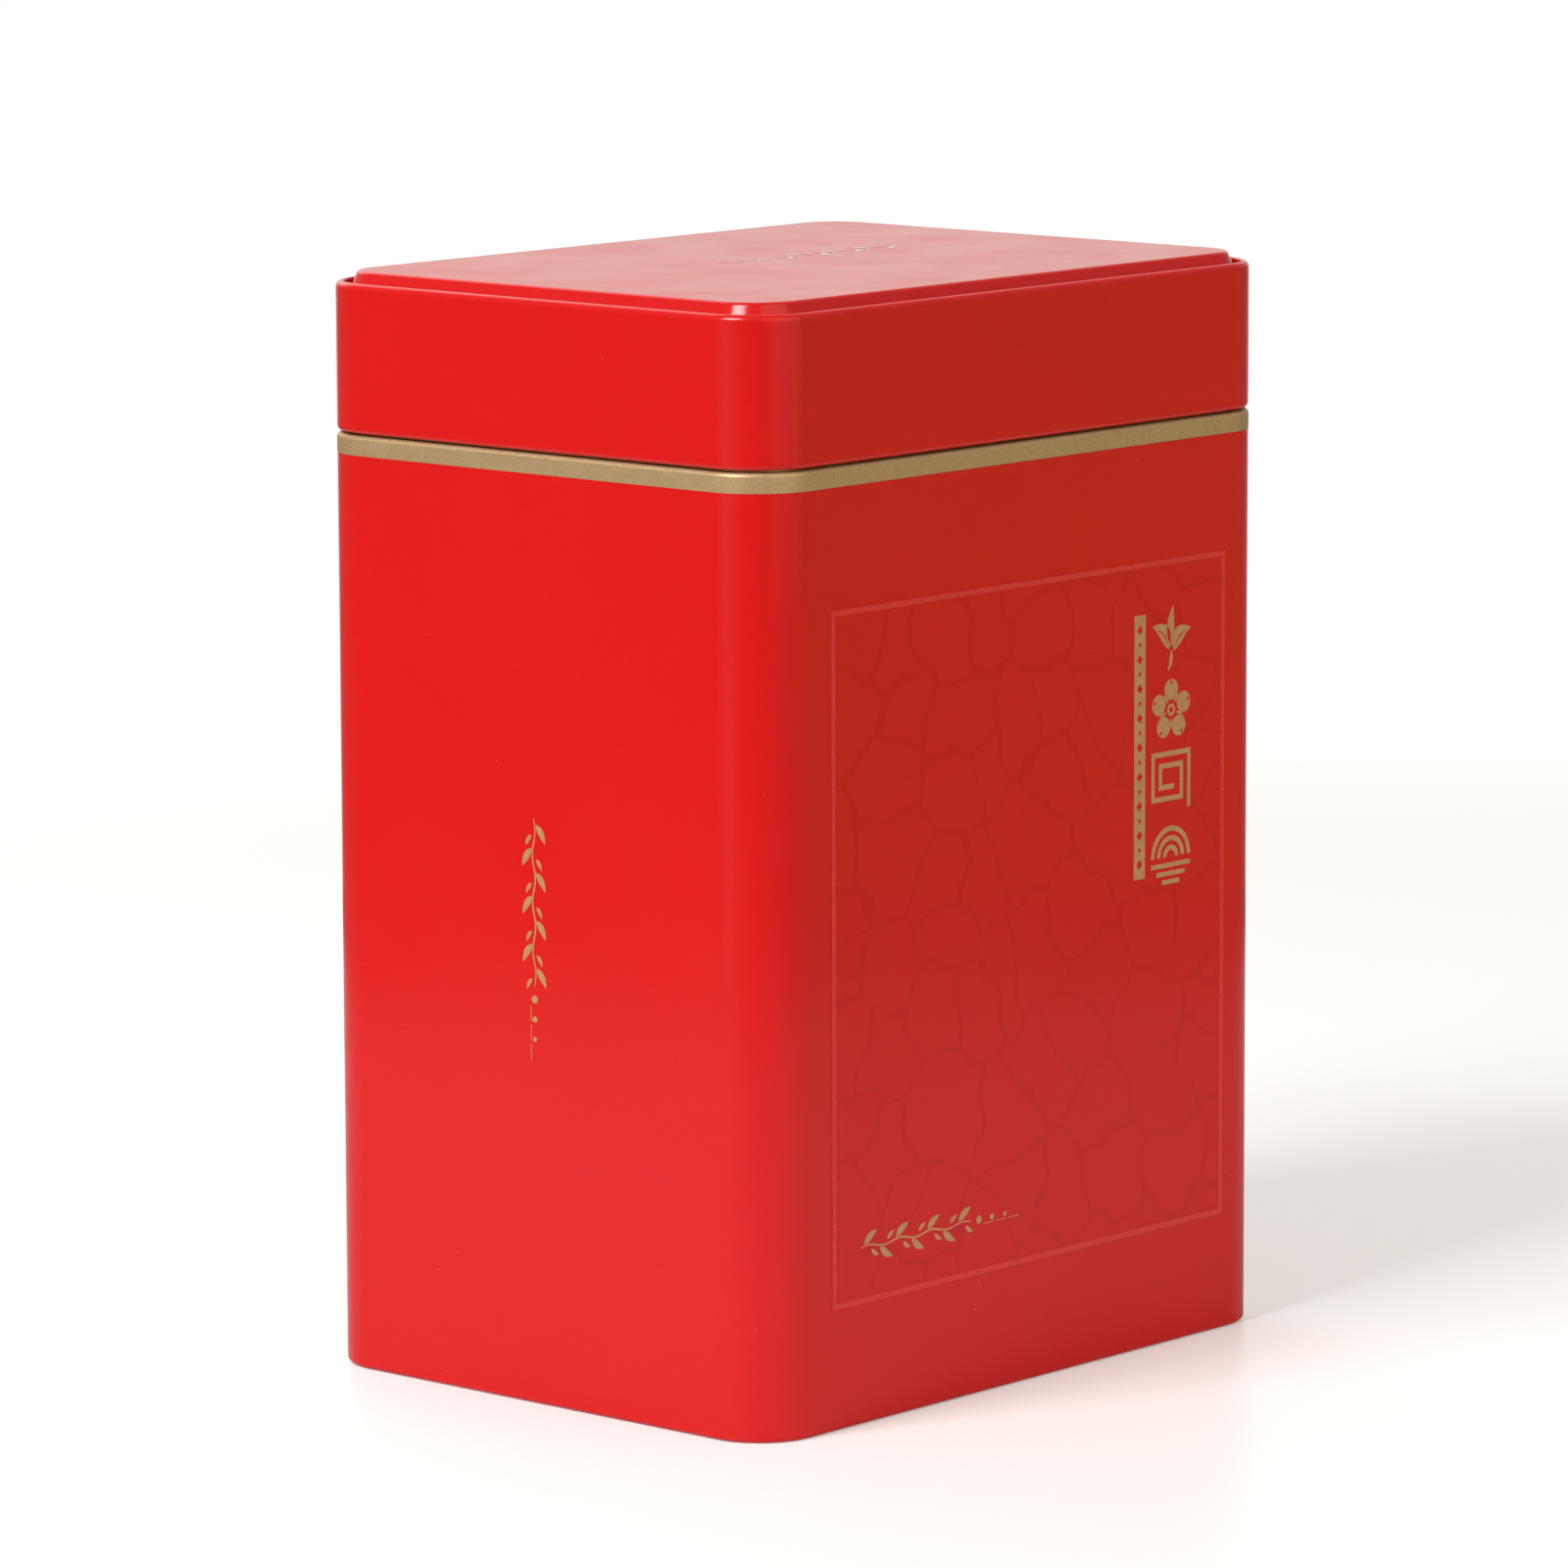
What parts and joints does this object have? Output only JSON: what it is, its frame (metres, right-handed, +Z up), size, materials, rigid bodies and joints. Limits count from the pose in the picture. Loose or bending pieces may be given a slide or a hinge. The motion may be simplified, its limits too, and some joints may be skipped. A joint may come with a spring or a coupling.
{
  "type": "tea caddy tin",
  "caption": "Tall rectangular tinplate tea caddy with rounded edges, a gold shoulder band, a slip-over lid with a raised plateau and a press-in inner lid with a knob.",
  "frame": {"origin": "middle of the rectangular plan, on the plane that the turned-in foot stands on", "axes": "+Z up along the lift of the lids and the tin's height, X along the wide faces, with the framed printed panel on the -Y face"},
  "size_m": [0.1424, 0.1088, 0.2],
  "materials": {
    "body_print": "red gloss litho print and clear varnish on tinplate, with a gold shoulder band",
    "base_tinplate": "bare bright tinplate with a fine roll grain",
    "neck_lacquer": "food-safe gold lacquer over tinplate",
    "lid_print": "red gloss litho print and clear varnish on tinplate",
    "lid_top_print": "red gloss litho print and clear varnish on tinplate, with a small gold motif",
    "pan_lacquer": "food-safe gold lacquer over tinplate",
    "knob_gold": "turned and gold anodised",
    "rivet_steel": "tinned steel"
  },
  "bodies": {
    "body": {"body_wall": "body_print", "base_panel": "base_tinplate", "neck_ring": "neck_lacquer"},
    "lid": {"lid_skirt": "lid_print", "lid_top_panel": "lid_top_print"},
    "inner_lid": {"inner_lid_pan": "pan_lacquer", "inner_lid_knob": "knob_gold", "knob_rivet": "rivet_steel"}
  },
  "joints": [
    {"name": "lid_lift", "type": "slide", "parent": "body", "child": "lid", "axis": [0, 0, 1], "range_m": [0, 0.22]},
    {"name": "inner_lid_lift", "type": "slide", "parent": "body", "child": "inner_lid", "axis": [0, 0, 1], "range_m": [0, 0.099]}
  ],
  "couplings": [
    {"joint": "inner_lid_lift", "follows": "lid_lift", "ratio": 0.45}
  ]
}
